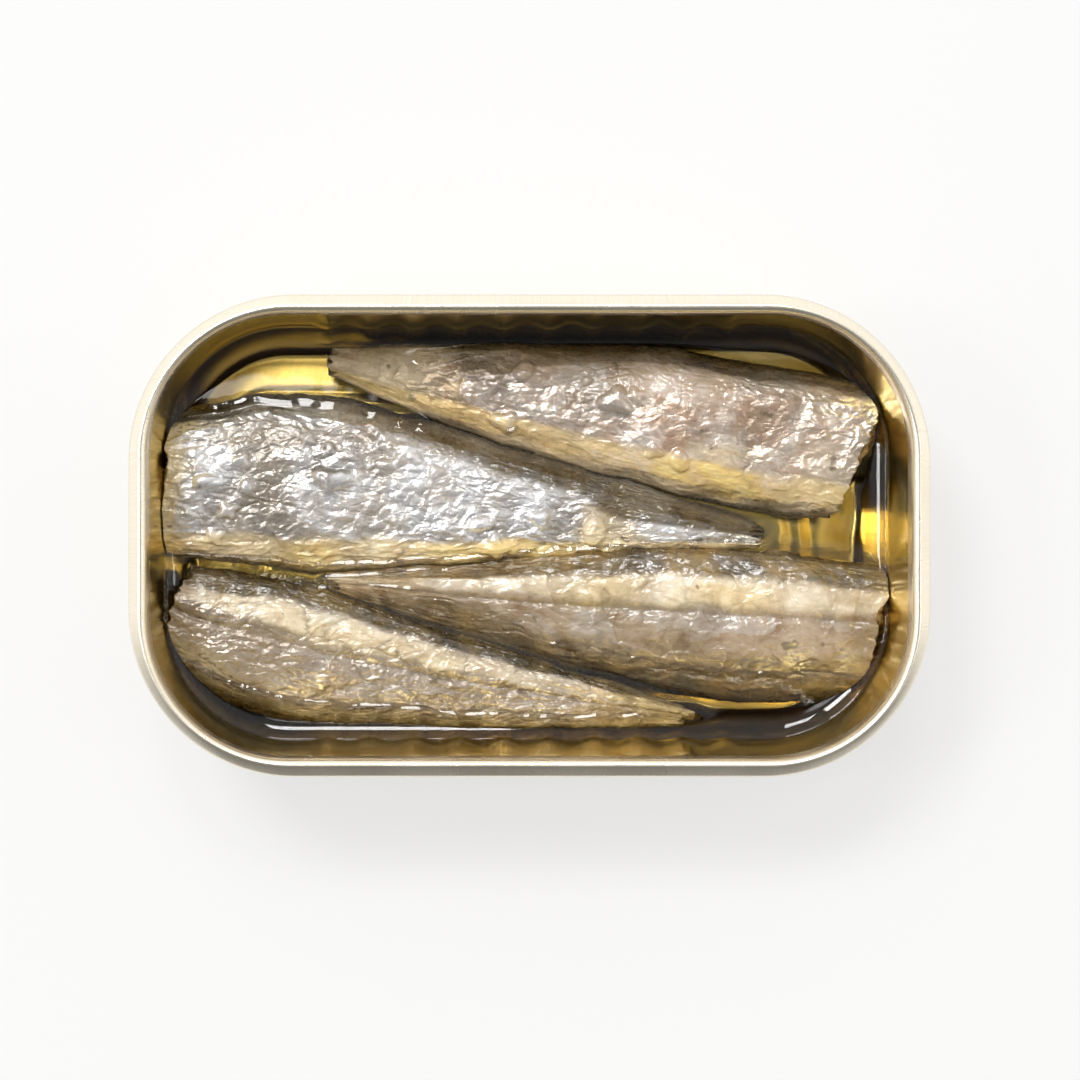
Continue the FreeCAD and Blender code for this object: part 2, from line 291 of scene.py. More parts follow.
def swept_ring(name, outline, turns, angle, press=None):
    """A closed outline of insets and heights carried round the rim's rounded rectangle. press gives
    how much further in each point goes."""
    insets, heights = np.array(outline).T
    rows = len(insets) - 1
    piece, turn, across = sheet(name, turns, rows)
    place = np.clip((across * rows).round().astype(int), 0, rows)
    inset, height = insets[place], heights[place]
    if press is not None:
        inset = inset + press(turn, inset, height)
    x, y = rounded_ring(turn, inset)
    return shape(piece, np.stack([x, y, height], axis=1), angle)


# --- the can --------------------------------------------------------------------------

def wall_line(height, depth=0.0):
    """How far in the wall's outside is at a height, and depth further into the metal."""
    return WALL_INSET + depth + (WALL_TOP - height) * math.tan(DRAFT)


def shell_outline(depth):
    """One face of the can from the middle of its floor to the top of its wall. depth is 0 for the
    outside and the sheet's thickness for the inside."""
    low = depth
    bend = BASE_BEND - depth
    lean = math.degrees(DRAFT)
    foot = wall_line(low, depth)
    reach = bend * math.tan(math.radians(45 - lean / 2))
    centre = (foot + reach, low + bend)
    half = RIM_WIDTH / 2
    middle = low + RING_RISE + 2 * STEP_HEIGHT
    steps = [(half, middle), (half - 5.0, middle)]
    for inset, top in ((SECOND_STEP, middle), (FIRST_STEP, middle - STEP_HEIGHT)):
        bottom = top - STEP_HEIGHT
        slope = [(inset + STEP_REACH * math.cos(math.pi * part / 10), (top + bottom) / 2
                  + STEP_HEIGHT / 2 * math.sin(math.pi * (0.5 - part / 10))) for part in range(11)]
        steps += [(inset + STEP_APRON, top)] + slope + [(inset - STEP_APRON, bottom)]
    ring_foot = centre[0] + 0.3
    steps += [(ring_foot + (RING_TOP - ring_foot) * (1 - part / 8),
               low + RING_RISE * (1 - part / 8)) for part in range(9)]
    curve = arc_points(centre, bend, 270, 180 + lean, 14)
    wall = [(wall_line(height, depth), height) for height in np.linspace(low + bend, WALL_TOP, 24)]
    return steps + curve + wall[1:]


def flute_press(turn, inset, height):
    """How much further in the flutes press the two long walls."""
    x, y = rounded_ring(turn, inset)
    span = FLUTES_A_SIDE * FLUTE_PITCH / 2
    wave = 0.5 + 0.5 * np.cos(2 * math.pi * (x / FLUTE_PITCH + 0.5))
    on_side = (1.0 - smooth(span - 4.0, span, np.abs(x))) * smooth(20.0, 24.0, np.abs(y))
    upright = smooth(*FLUTE_FOOT, height)
    upright = upright * (1.0 - smooth(WALL_TOP - FLUTE_HEAD[0], WALL_TOP - FLUTE_HEAD[1], height))
    on_wall = inset < wall_line(height) + SHEET_METAL + 0.2
    return FLUTE_DEPTH * wave * on_side * upright * on_wall


def make_can():
    """The drawn can, inside and outside, its wall going up into the seam."""
    outside = shell_outline(0.0)
    inside = shell_outline(SHEET_METAL)
    collar = TIN_HEIGHT - COLLAR_DROP
    top = [(WALL_INSET, collar), (WALL_INSET + SHEET_METAL, collar)]
    can = swept_ring("can", outside + top + inside[::-1], 480, 50, flute_press)
    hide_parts("tin_body")
    return can


# --- the seam -----------------------------------------------------------------------------

def make_seam():
    """The folded double seam: upright outer face, sloping shoulder, narrow crown and chuck wall."""
    top = TIN_HEIGHT
    foot = TIN_HEIGHT - SEAM_HEIGHT
    outline = arc_points((SEAM_EDGE, foot + SEAM_EDGE), SEAM_EDGE, 270, 180, 6)
    outline += [(0.0, foot + 0.7), (0.0, top - 1.3), (0.03, top - 1.1), (0.14, top - 0.94)]
    outline += [(0.3, top - 0.81), (CROWN - 0.4, top - 0.16), (CROWN - 0.2, top - 0.05)]
    outline += oval_points((CROWN, top - SEAM_ROUND), (CHUCK_TOP - CROWN, SEAM_ROUND), 90, 8, 16)
    outline += [(CHUCK_TOP + out, top - drop) for out, drop in (
        (0.02, 1.5), (0.07, 2.2), (0.1, 2.9), (0.08, 3.15), (0.0, 3.26), (-0.12, CHUCK_DEPTH))]
    outline += [(WALL_INSET + SHEET_METAL + 0.02, top - CHUCK_DEPTH)]
    outline += [(WALL_INSET + SHEET_METAL, foot), (SEAM_EDGE, foot)]
    seam = swept_ring("seam", outline, 720, 60)
    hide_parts("rim_ring")
    return seam


# --- the fish ---------------------------------------------------------------------------------

CAP_SHARE = 0.055        # share of a fish's rows that make its cut face
TAIL_CAP_SHARE = 0.02


def body_sizes(fish, share):
    """Width, height and crest of a fish at shares of the way from cut end to tail."""
    late = np.clip((share - fish["widest_at"]) / (1 - fish["widest_at"]), 0.0, 1.0)
    early = np.clip(share / fish["widest_at"], 0.0, 1.0)
    front = fish["cut_share"] + (1 - fish["cut_share"]) * np.sin(math.pi / 2 * early)
    back = fish["tail_share"] + (1 - fish["tail_share"]) * np.cos(math.pi / 2 * late ** fish["taper"])
    width = fish["girth"] * front * back
    height = fish["deep"] * front ** 0.5 * back ** 0.8
    crest = fish["crest"] - (fish["crest"] - fish["tail_crest"]) * share ** 1.6
    return width, height, crest


# Each fish has its own map of olive back, yellow fat, bare brown flesh and pale belly, over the
# share s from cut end to tail and the share f across it, from its +Y edge to its -Y edge.

def zones_1(s, f):
    # The olive back widens towards the cut end, and this extra width is painted shade.
    olive = 0.85 - 0.85 * smooth(0.06, 0.16 - 0.06 * s, f)
    fat = band(f, 0.74, 0.93, 0.04) * (0.6 + 0.7 * band(s, 0.17, 0.36, 0.05))
    fat = fat + 0.5 * band(f, 0.6, 0.8, 0.06) * band(s, 0.2, 0.3, 0.05)
    flesh = 0.85 * band(f, 0.1, 0.34, 0.05) * band(s, 0.28, 0.7, 0.08)
    pale = 0.8 * smooth(0.88, 0.95, f) + 0.45 * (1.0 - smooth(0.05, 0.2, s)) * smooth(0.3, 0.6, f)
    pale = pale + 0.9 * smooth(0.78, 0.84, s)
    return olive, fat, flesh, pale


def zones_2(s, f):
    shoulder = 0.1 + 0.16 * smooth(0.35, 0.6, s) + 0.3 * smooth(0.66, 0.8, s)
    olive = 1.0 - smooth(shoulder - 0.05, shoulder + 0.05, f)
    fat = 0.4 + 0.5 * band(s, 0.2, 0.3, 0.03) + 0.5 * band(s, 0.45, 0.7, 0.06)
    fat = fat * band(f, 0.84, 1.1, 0.03)
    fat = fat + 0.45 * band(s, 0.7, 0.8, 0.03) * band(f, 0.35, 0.85, 0.08)
    fat = fat + 0.5 * (1.0 - smooth(0.02, 0.06, s))
    flesh = 0.3 * band(f, 0.12, 0.3, 0.05) * band(s, 0.1, 0.5, 0.1)
    pale = smooth(0.8, 0.86, f) + 0.6 * band(s, 0.7, 0.8, 0.03) * smooth(0.3, 0.5, f)
    return olive, fat, flesh, pale


def zones_3(s, f):
    olive = (1.0 - smooth(0.1, 0.18, f)) * 0.9 + 0.7 * smooth(0.62, 0.78, f + 0.12 * s)
    pale = band(f, 0.14, 0.34, 0.03) * (1.0 - 0.5 * smooth(0.6, 0.9, s))
    fat = 0.45 * band(f, 0.2, 0.36, 0.04) * band(s, 0.2, 0.36, 0.05)
    fat = fat + 0.35 * band(f, 0.15, 0.4, 0.05) * band(s, 0.45, 0.6, 0.06)
    flesh = band(f, 0.36, 0.8, 0.04)
    return olive, fat, flesh, pale


def zones_4(s, f):
    at_cut = 1.0 - smooth(0.0, 0.3, s)
    edge = 0.05 + 0.02 * at_cut
    olive = 1.0 - smooth(edge, edge + 0.05, f)
    olive = olive + 0.95 * smooth(0.8, 0.9, f) + 0.4 * smooth(0.8, 0.95, s)
    pale = band(f, 0.1 - 0.04 * at_cut, 0.3 - 0.05 * at_cut, 0.03)
    pale = pale * (1.0 - 0.35 * smooth(0.4, 0.6, s))
    fat = 0.2 * band(f, 0.15, 0.36, 0.06) * band(s, 0.15, 0.6, 0.1) + 0.35 * smooth(0.75, 0.9, s)
    flesh = 0.3 * band(f, 0.4, 0.85, 0.06)
    return olive, fat, flesh, pale


ZONES = {"sardine_1": zones_1, "sardine_2": zones_2, "sardine_3": zones_3, "sardine_4": zones_4}


def cell_steps(points, seed):
    """A height from -1 to 1 for each patch of a broken, uneven pattern."""
    cell = np.floor(points).astype(np.int64)
    nearest = np.full(len(points), 9.0)
    height = np.zeros(len(points))
    for corner in range(27):
        near = cell + np.array([corner % 3 - 1, corner // 3 % 3 - 1, corner // 9 - 1])
        jitter = np.stack([lattice_value(near, seed + axis) for axis in range(3)], axis=-1)
        gap = np.linalg.norm(points - near - 0.5 - jitter * 0.45, axis=-1)
        closer = gap < nearest
        nearest = np.where(closer, gap, nearest)
        height = np.where(closer, lattice_value(near, seed + 3), height)
    return height


def make_fish(name, fish):
    """A headless sardine on its flank: creased skin over the body, a torn face where the head was
    cut off, and the stub of the tail."""
    along_rows, around_rows = 400, 232
    piece, along, around = sheet(name + "_skin", along_rows, around_rows)
    seed = fish["seed"]

    # The ends are capped by rows that run in to the middle of the section.
    share = np.clip((along - CAP_SHARE) / (1 - CAP_SHARE - TAIL_CAP_SHARE), 0.0, 1.0)
    cut_in = np.clip(along / CAP_SHARE, 0.0, 1.0)
    tail_in = np.clip((1.0 - along) / TAIL_CAP_SHARE, 0.0, 1.0)
    spread = np.minimum(cut_in, np.sin(tail_in * math.pi / 2))

    # Most rows lie on the upper side. The seam is underneath.
    sweep = around * 2 - 1
    sweep = sweep * (0.62 + 0.38 * sweep * sweep)
    turn = math.pi / 2 - sweep * math.pi
    reach_x, reach_y = fish["tail"][0] - fish["cut"][0], fish["tail"][1] - fish["cut"][1]
    length = math.hypot(reach_x, reach_y)
    heading = np.array([reach_x / length, reach_y / length])
    across = np.array([-heading[1], heading[0]])
    if across[1] < 0:
        across = -across

    width, height, crest = body_sizes(fish, share)
    cosine, sine = np.cos(turn), np.sin(turn)
    belly = cosine * fish["belly_side"] > 0
    power = np.where(belly, 2 / 2.9, 2 / 2.7)
    side = np.sign(cosine) * np.abs(cosine) ** power
    lift = np.sign(sine) * np.abs(sine) ** np.where(sine > 0, 2 / 3.3, 2 / 2.2)

    # Relief is worked out on the body as if it were a plain tube, so that it has no seam.
    tube = np.stack([share * length, cosine * 9.0, sine * 9.0], axis=1)
    warp = fractal(tube / 7.0, seed + 100, 2)
    warp_across = fractal(tube / 5.0, seed + 110, 2)
    warped = tube + np.stack([warp * 2.2, warp_across * 1.6, warp * 1.2], axis=1)
    broad = fractal(tube / np.array([14.0, 9.0, 9.0]), seed, 2)
    lumps = fractal(tube / np.array([4.2, 3.0, 3.0]), seed + 10, 2)
    foil_long = ridges(warped / np.array([3.4, 1.15, 1.15]), seed + 20, 2)
    turned = np.stack([warped[:, 0] * 0.8 + warped[:, 1] * 0.6,
                       warped[:, 1] * 0.8 - warped[:, 0] * 0.6, warped[:, 2]], axis=1)
    foil_cross = ridges(turned / np.array([2.4, 0.9, 1.3]), seed + 30, 2)
    where_foil = smooth(-0.25, 0.35, fractal(tube / 6.0, seed + 40, 2))
    domes = blisters(share * length, side * width / 2, fish["blisters"],
                     length, fish["girth"], seed + 50)
    domes = domes * (sine > 0)
    fine = fractal(tube / np.array([0.9, 0.55, 0.55]), seed + 60, 2)

    plates = cell_steps(warped / np.array([4.2, 2.4, 2.4]), seed + 65)
    relief = 0.6 * broad + 0.26 * lumps + 0.16 * fish["plates"] * plates
    foil = 0.2 * foil_long * (0.35 + where_foil) + 0.14 * foil_cross * (1.2 - where_foil)
    relief = relief + fish["foil"] * foil
    relief = relief + domes + 0.035 * fine * fish["foil"]
    upper = smooth(-0.5, 0.2, sine)
    slim = np.clip(width / 10.0, 0.15, 1.0)
    relief = relief * (0.35 + 0.65 * upper) * slim

    # f runs from the +Y edge of the fish, over the top, to its -Y edge.
    f = (1.0 - side) / 2 - fish["lean"] * np.clip(lift, 0, 1) / 2
    if fish["lean"] > 0.2:
        groove = band(f, 0.37, 0.41, 0.03) * (sine > 0)
        relief = relief + 0.3 * band(f, 0.14, 0.34, 0.06) * (sine > 0) * slim - 0.3 * groove * slim

    along_edge = np.stack([share * length / 6.0, np.sign(cosine) * 3.0, share * 0.0], axis=1)
    edge_wave = 0.5 * fractal(along_edge, seed + 95, 3)
    half_width = width / 2 - 0.3 + (relief * 0.6 + edge_wave * np.abs(side) ** 3) * slim
    half_height = height / 2 + relief
    q = side * half_width * spread + fish["lean"] * np.clip(lift, 0, 1) * half_width * spread
    z = crest - height / 2 + lift * half_height * spread

    # The cut end: an uneven skin edge round a torn, hollowed face.
    edge = np.stack([cosine * 2.2, sine * 2.2, np.full_like(cosine, seed)], axis=1)
    ragged = fractal(edge * 0.7, seed + 70, 2) * 1.7 + fractal(edge * 3.4, seed + 73, 3) * 0.9
    face = np.stack([side * spread * 3.0, lift * spread * 3.0, np.full_like(cosine, seed)], axis=1)
    torn = fractal(face * 1.5, seed + 80, 3) * 1.6
    inner = 1.0 - smooth(0.75, 1.0, cut_in)
    near_cut = 1.0 - smooth(0.0, 0.06, share)
    shift = np.where(cut_in < 1.0, torn * inner + ragged * (1 - inner) + 0.5 * inner,
                     ragged * near_cut)
    shift = shift + fish["slant"] * (f - 0.35) * (1.0 - smooth(0.0, 0.16, share))
    at_tail = smooth(0.93, 1.0, share)
    shift = shift + at_tail * (fractal(edge * 2.4, seed + 76, 3) * 2.4 - 1.7 * side * side)
    bowed = fish["bow"] * np.sin(math.pi * share ** fish["bow_power"])
    x = fish["cut"][0] + heading[0] * (share * length + shift) + across[0] * q
    y = fish["cut"][1] + heading[1] * (share * length + shift) + across[1] * q + bowed
    z = np.maximum(z, FISH_FLOOR)

    # Nothing goes through the wall of the can.
    x, y = keep_inside(x, y, z)

    jag = fractal(tube / np.array([6.0, 4.0, 4.0]), seed + 90, 3) * 1.6
    olive, fat, flesh, pale = ZONES[name](share + 0.025 * jag, f + 0.035 * jag)
    bare = np.where(cut_in < 1.0, 1.0 - smooth(0.85, 1.0, cut_in), 0.0)
    set_attribute(piece, "zones", np.clip(np.stack([olive, fat, flesh, pale], axis=1), 0, 1))
    set_value(piece, "bare", bare)
    set_value(piece, "height_in_skin", relief)
    set_value(piece, "domes", np.clip(domes * 4.0, 0, 1))
    shape(piece, np.stack([x, y, z], axis=1))
    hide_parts(name)
    return piece


def keep_inside(x, y, z, gap=0.15):
    """Points brought in where they would lie nearer to the outside than the can's inner wall."""
    limit = wall_line(np.clip(z, 0, WALL_TOP), SHEET_METAL) + gap
    inset = inset_of(x, y)
    push = np.maximum(limit - inset, 0.0)
    radius = RIM_CORNER
    core_x = np.clip(x, -(RIM_LENGTH / 2 - radius), RIM_LENGTH / 2 - radius)
    core_y = np.clip(y, -(RIM_WIDTH / 2 - radius), RIM_WIDTH / 2 - radius)
    out_x, out_y = x - core_x, y - core_y
    reach = np.maximum(np.hypot(out_x, out_y), 1e-6)
    return x - out_x / reach * push, y - out_y / reach * push


def inset_of(x, y):
    """How far inside the rim's outline each point is."""
    core_x = np.maximum(np.abs(x) - (RIM_LENGTH / 2 - RIM_CORNER), 0.0)
    core_y = np.maximum(np.abs(y) - (RIM_WIDTH / 2 - RIM_CORNER), 0.0)
    return RIM_CORNER - np.hypot(core_x, core_y)


def set_attribute(piece, name, values):
    """Gives each point of a piece four values, read as a colour and its alpha."""
    layer = piece.data.attributes.new(name, "FLOAT_COLOR", "POINT")
    layer.data.foreach_set("color", np.asarray(values, dtype=np.float32).ravel())


def set_value(piece, name, values):
    """Gives each point of a piece one value."""
    layer = piece.data.attributes.new(name, "FLOAT", "POINT")
    layer.data.foreach_set("value", np.asarray(values, dtype=np.float32).ravel())


# --- the oil -----------------------------------------------------------------------------------

def make_oil(fish_pieces):
    """The oil as one closed body that reaches just into the wall and floor. Its surface creeps up
    the wall and every fish that stands out of it."""
    wall = wall_line(OIL_LEVEL, SHEET_METAL)
    bite = SHEET_METAL * OIL_BITE
    middle_rings = np.linspace(RIM_WIDTH / 2, wall + 4.0, 100)
    wall_rings = np.linspace(wall + 3.8, wall, 30)
    top = [(inset, OIL_LEVEL) for inset in np.concatenate([middle_rings, wall_rings])]
    side = [(wall_line(height, bite), height)
            for height in np.linspace(OIL_LEVEL + WALL_CREEP, OIL_SIDE_FOOT, 12)]
    bottom = [point for point in shell_outline(bite)[::-1] if point[1] < OIL_SIDE_FOOT]
    outline = top + side + bottom
    insets, heights = np.array(outline).T
    rows = len(insets) - 1
    piece, turn, across = sheet("oil_body", 560, rows)
    place = np.clip((across * rows).round().astype(int), 0, rows)
    inset, height = insets[place], heights[place]
    surface = place < len(top)
    inset = inset + np.where(surface, 0.0, flute_press(turn, inset, height))
    x, y = rounded_ring(turn, inset)
    height = np.where(surface, height + oil_creep(x, y, inset, fish_pieces, surface), height)
    shape(piece, np.stack([x, y, height], axis=1), 70)
    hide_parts("oil")
    return piece


def oil_creep(x, y, inset, fish_pieces, surface):
    """How high the oil stands over its level beside the wall and beside each fish."""
    wall_gap = np.maximum(inset - wall_line(OIL_LEVEL, SHEET_METAL), 0.0)
    rise = WALL_CREEP * np.exp(-wall_gap / WALL_CREEP_REACH)
    trees = []
    for piece in fish_pieces:
        points = np.empty(len(piece.data.vertices) * 3)
        piece.data.vertices.foreach_get("co", points)
        points = points.reshape(-1, 3) / MM
        wet_line = points[np.abs(points[:, 2] - OIL_LEVEL) < 0.12]
        wet_line = wet_line[wet_line[:, 0] > WET_FROM.get(piece.name, -RIM_LENGTH)]
        tree = kdtree.KDTree(len(wet_line))
        for number, point in enumerate(wet_line):
            tree.insert((point[0], point[1], 0.0), number)
        tree.balance()
        trees.append(tree)
    creep = np.zeros(len(x))
    for number in np.nonzero(surface)[0]:
        spot = (x[number], y[number], 0.0)
        gap = min(tree.find(spot)[2] for tree in trees)
        creep[number] = FISH_CREEP * math.exp(-gap / FISH_CREEP_REACH)
    return np.maximum(rise, creep)


# --- materials ----------------------------------------------------------------------------------

class Nodes:
    """A material's node tree, with short ways to add and join nodes."""

    def __init__(self, name, tree=None):
        if tree is None:
            self.material = bpy.data.materials.new(name)
            self.material.use_nodes = True
            tree = self.material.node_tree
            tree.nodes.clear()
        self.tree = tree

    def add(self, kind, inputs=None, **settings):
        """Adds a node, with its sockets set or joined and its own settings."""
        node = self.tree.nodes.new(kind)
        for name, value in settings.items():
            setattr(node, name, value)
        for socket, value in (inputs or {}).items():
            self.put(node, socket, value)
        return node

    def put(self, node, socket, value):
        """Joins a socket or a node's first output to a socket, or sets it to a plain value."""
        target = node.inputs[socket]
        if isinstance(value, bpy.types.NodeSocket):
            self.tree.links.new(value, target)
        elif isinstance(value, bpy.types.Node):
            self.tree.links.new(value.outputs[0], target)
        else:
            target.default_value = value

    def noise(self, vector, scale, detail=3.0, rough=0.5, distortion=0.0):
        return self.add("ShaderNodeTexNoise", {"Vector": vector, "Scale": scale, "Detail": detail,
                                               "Roughness": rough, "Distortion": distortion})

    def spread(self, value, low, high, to_low=0.0, to_high=1.0):
        """Carries low..high to to_low..to_high, held at both ends."""
        return self.add("ShaderNodeMapRange", {"Value": value, "From Min": low, "From Max": high,
                                               "To Min": to_low, "To Max": to_high})

    def mix(self, factor, first, second, blend="MIX"):
        node = self.add("ShaderNodeMix", data_type="RGBA", blend_type=blend)
        self.put(node, "Factor", factor)
        self.put(node, 6, first)
        self.put(node, 7, second)
        return node.outputs[2]

    def math(self, operation, first, second):
        return self.add("ShaderNodeMath", {0: first, 1: second}, operation=operation)

    def vector(self, operation, first, second):
        return self.add("ShaderNodeVectorMath", {0: first, 1: second}, operation=operation)

    def stretched(self, scale, coordinates="Object"):
        """The piece's own coordinates, scaled along each axis."""
        source = self.add("ShaderNodeTexCoord").outputs[coordinates]
        return self.add("ShaderNodeMapping", {"Vector": source, "Scale": scale})

    def finish(self, shader, volume=None):
        output = self.add("ShaderNodeOutputMaterial", {"Surface": shader})
        if volume is not None:
            self.put(output, "Volume", volume)
        return self.material


def lacquer_material():
    """Gold lacquer on drawn sheet, bright as a mirror but for faint upright draw lines."""
    n = Nodes("gold_lacquer")
    lines = n.noise(n.stretched((900, 6, 1), "UV"), 1.0, 2.0)
    cloud = n.noise(n.stretched((1, 1, 1)), 60.0, 3.0)
    colour = n.mix(n.spread(cloud, 0.35, 0.65), (0.84, 0.655, 0.225, 1), (0.89, 0.72, 0.31, 1))
    rough = n.spread(cloud, 0.3, 0.7, 0.15, 0.22)
    bump = n.add("ShaderNodeBump", {"Strength": 0.05, "Distance": 0.0002, "Height": lines})
    shader = n.add("ShaderNodeBsdfPrincipled", {
        "Base Color": colour, "Metallic": 1.0, "Roughness": rough.outputs[0], "Normal": bump})
    return n.finish(shader.outputs[0])


def seam_material():
    """Champagne seam metal with fine marks across it from the seaming roll."""
    n = Nodes("champagne_seam")
    marks = n.noise(n.stretched((2600, 3, 1), "UV"), 1.0, 2.0)
    cloud = n.noise(n.stretched((1, 1, 1)), 90.0, 4.0)
    colour = n.mix(n.spread(marks, 0.35, 0.65), (0.88, 0.80, 0.64, 1), (0.94, 0.88, 0.76, 1))
    rough = n.spread(cloud, 0.3, 0.7, 0.2, 0.34)
    bump = n.add("ShaderNodeBump", {"Strength": 0.12, "Distance": 0.0002, "Height": marks})
    shader = n.add("ShaderNodeBsdfPrincipled", {
        "Base Color": colour, "Metallic": 1.0, "Roughness": rough.outputs[0], "Normal": bump})
    return n.finish(shader.outputs[0])


def foil_height():
    """A node group that puts out the height of creased foil and a mask of its creases."""
    group = bpy.data.node_groups.new("creased_foil", "ShaderNodeTree")
    group.interface.new_socket("Vector", in_out="INPUT", socket_type="NodeSocketVector")
    for output in ("Height", "Crease"):
        group.interface.new_socket(output, in_out="OUTPUT", socket_type="NodeSocketFloat")
    n = Nodes("creased_foil", group)
    way = n.add("NodeGroupInput").outputs[0]
    drift = n.noise(way, 260.0, 3.0, 0.55)
    pushed = n.vector("SUBTRACT", drift.outputs["Color"], (0.5, 0.5, 0.5))
    pushed = n.vector("MULTIPLY", pushed, (0.004, 0.004, 0.004))
    moved = n.vector("ADD", way, pushed)
    large, small = (n.add("ShaderNodeTexVoronoi", {"Vector": moved, "Scale": scale},
                          feature="DISTANCE_TO_EDGE") for scale in (240.0, 620.0))
    grain = n.noise(moved, 1700.0, 3.0, 0.6)
    fine_cells = n.math("MULTIPLY", small.outputs["Distance"], 0.38)
    total = n.math("ADD", large.outputs["Distance"], fine_cells)
    total = n.math("ADD", total, n.math("MULTIPLY", grain, 0.1))
    crease = n.spread(large.outputs["Distance"], 0.0, 0.09, 1.0, 0.0)
    n.add("NodeGroupOutput", {"Height": total, "Crease": crease})
    return group


def skin_material(name, foil, silver, dull, back, metal_share, crinkle):
    """Wet sardine skin: creased silver, olive back, cream and yellow fat, and bare brown flesh, with
    painted shade in its hollows, in its creases and deep under the oil.
    """
    n = Nodes(name)
    zones = n.add("ShaderNodeAttribute", attribute_name="zones")
    parts = n.add("ShaderNodeSeparateColor", {"Color": zones.outputs["Color"]})
    olive, fat, flesh = parts.outputs[0], parts.outputs[1], parts.outputs[2]
    pale = zones.outputs["Alpha"]
    bare = n.add("ShaderNodeAttribute", attribute_name="bare").outputs["Fac"]
    relief = n.add("ShaderNodeAttribute", attribute_name="height_in_skin").outputs["Fac"]
    domed = n.add("ShaderNodeAttribute", attribute_name="domes").outputs["Fac"]
    place = n.stretched((1, 1, 1))
    creased = n.add("ShaderNodeGroup", node_tree=foil)
    n.put(creased, "Vector", n.stretched((0.6, 1, 1)))
    patch = n.noise(place, 170.0, 4.0, 0.62, 0.8)
    speck = n.noise(place, 900.0, 3.0, 0.6)
    wide = n.noise(place, 75.0, 4.0, 0.6)
    silver_tone = n.mix(n.spread(patch, 0.42, 0.6), silver, dull)
    silver_tone = n.mix(n.spread(wide, 0.45, 0.65, 0.0, 0.7), silver_tone, (0.30, 0.27, 0.24, 1))
    flesh_tone = n.mix(n.spread(patch, 0.38, 0.6), (0.25, 0.155, 0.085, 1), (0.50, 0.40, 0.29, 1))
    bent = n.vector("MULTIPLY", patch.outputs["Color"], (0.006, 0.006, 0.006))
    bent = n.vector("ADD", n.stretched((0.6, 1, 1)), bent)
    cells = n.add("ShaderNodeTexVoronoi", {"Vector": bent, "Scale": 230.0}, feature="F1")
    cell_tone = n.add("ShaderNodeSeparateColor", {"Color": cells.outputs["Color"]}).outputs[0]
    flesh_tone = n.mix(n.spread(cell_tone, 0.55, 0.8, 0.0, 0.5), flesh_tone, (0.48, 0.45, 0.42, 1))
    colour = n.mix(n.math("MULTIPLY", flesh, n.spread(wide, 0.35, 0.5)), silver_tone, flesh_tone)
    pale_tone = n.mix(n.spread(patch, 0.35, 0.62), (0.56, 0.44, 0.28, 1), (0.80, 0.71, 0.56, 1))
    colour = n.mix(n.math("MULTIPLY", pale, n.spread(patch, 0.25, 0.5, 0.5, 1.0)), colour, pale_tone)
    fat_tone = n.mix(n.spread(patch, 0.38, 0.6), (0.72, 0.47, 0.10, 1), (0.86, 0.67, 0.30, 1))
    colour = n.mix(n.math("MULTIPLY", fat, n.spread(patch, 0.33, 0.52, 0.45, 1.0)), colour, fat_tone)
    olive_tone = n.mix(n.spread(patch, 0.38, 0.62), (0.035, 0.024, 0.008, 1), back)
    colour = n.mix(n.math("MULTIPLY", olive, n.spread(wide, 0.2, 0.5, 0.7, 1.0)), colour, olive_tone)
    raw_tone = n.mix(n.spread(speck, 0.35, 0.65), (0.42, 0.26, 0.15, 1), (0.66, 0.53, 0.36, 1))
    colour = n.mix(bare, colour, raw_tone)
    # Painted shade: the skin is darkened towards dark brown where its relief sinks into a hollow.
    hollow_shade = n.spread(relief, -0.45, 0.1, 0.55, 0.0)
    colour = n.mix(hollow_shade, colour, (0.14, 0.095, 0.04, 1))
    # Painted shade: the foil's creases are darkened, as far as the crinkle value and the wide noise
    # allow.
    crease_shade = n.math("MULTIPLY", creased.outputs["Crease"], n.spread(wide, 0.4, 0.6, 0.1, 0.6))
    colour = n.mix(n.math("MULTIPLY", crease_shade, crinkle), colour, (0.13, 0.09, 0.05, 1))
    freckle = n.noise(place, 420.0, 2.0, 0.5)
    colour = n.mix(n.spread(freckle, 0.68, 0.74, 0.0, 0.7), colour, (0.12, 0.09, 0.04, 1))
    # Painted shade: below the oil level the skin goes almost black, for the dark gaps low between the
    # fish. The same mask also makes the skin matte there.
    spot = n.add("ShaderNodeTexCoord").outputs["Object"]
    height = n.add("ShaderNodeSeparateXYZ", {0: spot}).outputs[2]
    below = n.spread(height, (OIL_LEVEL - 1.2) * MM, (OIL_LEVEL - 5.0) * MM, 0.0, 0.93)
    colour = n.mix(below, colour, (0.022, 0.015, 0.005, 1))
    matt = flesh
    for other in (fat, olive, bare, below, n.math("MULTIPLY", pale, 0.7)):
        matt = n.math("MAXIMUM", matt, other)
    metal = n.math("MULTIPLY", n.spread(matt, 0.0, 0.8, metal_share, 0.0),
                   n.spread(patch, 0.35, 0.6, 1.0, 0.45))
    rough = n.spread(speck, 0.3, 0.7, 0.2, 0.36)
    bump = n.add("ShaderNodeBump", {"Strength": n.spread(domed, 0.0, 1.0, crinkle, 0.12),
                                    "Distance": 0.001, "Height": creased.outputs["Height"]})
    wet = n.spread(height, (OIL_LEVEL - 0.1) * MM, (OIL_LEVEL + 0.25) * MM, 0.15, 1.0)
    shader = n.add("ShaderNodeBsdfPrincipled", {
        "Base Color": colour, "Metallic": metal, "Roughness": rough.outputs[0], "Normal": bump,
        "Subsurface Weight": 0.08, "Subsurface Scale": 0.002, "Coat Weight": wet.outputs[0],
        "Coat Roughness": 0.05, "Coat IOR": 1.47, "Coat Normal": bump})
    shader.inputs["Subsurface Radius"].default_value = (1.0, 0.55, 0.3)
    return n.finish(shader.outputs[0])


